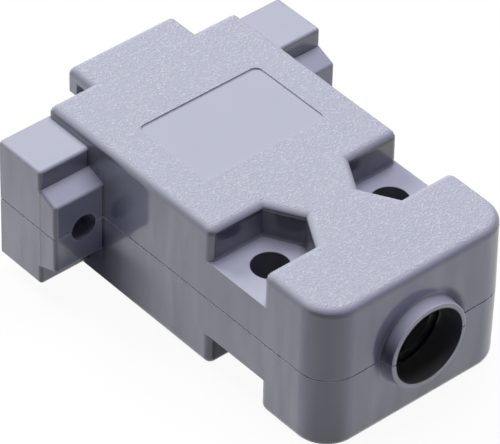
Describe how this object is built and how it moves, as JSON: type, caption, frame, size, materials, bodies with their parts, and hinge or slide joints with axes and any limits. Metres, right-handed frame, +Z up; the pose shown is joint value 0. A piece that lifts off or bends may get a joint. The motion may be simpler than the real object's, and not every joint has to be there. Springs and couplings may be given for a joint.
{
  "type": "d-sub connector hood",
  "caption": "Moulded plastic clamshell hood for a D-sub connector, with stepped jackscrew ears, hexagonal screw pockets and a round cable exit.",
  "frame": {"origin": "middle of the connector's seat: midway between the jackscrew holes, on the ears' front faces and on the parting plane", "axes": "+Y out of the seat towards the connector, -Y out of the cable exit, X along the row of jackscrews, +Z up through the upper shell"},
  "size_m": [0.031, 0.0399, 0.015],
  "materials": {
    "shell_plastic": "blue-grey moulded plastic, spark-eroded faces and smooth sides",
    "clamp_strip": "zinc-plated strip",
    "clamp_fastener": "zinc-plated steel"
  },
  "bodies": {
    "root": {"upper_shell": "shell_plastic", "lower_shell": "shell_plastic", "upper_cable_clamp": "clamp_strip", "lower_cable_clamp": "clamp_strip", "clamp_screw_right": "clamp_fastener", "clamp_screw_left": "clamp_fastener", "clamp_nut_right": "clamp_fastener", "clamp_nut_left": "clamp_fastener"}
  },
  "joints": []
}
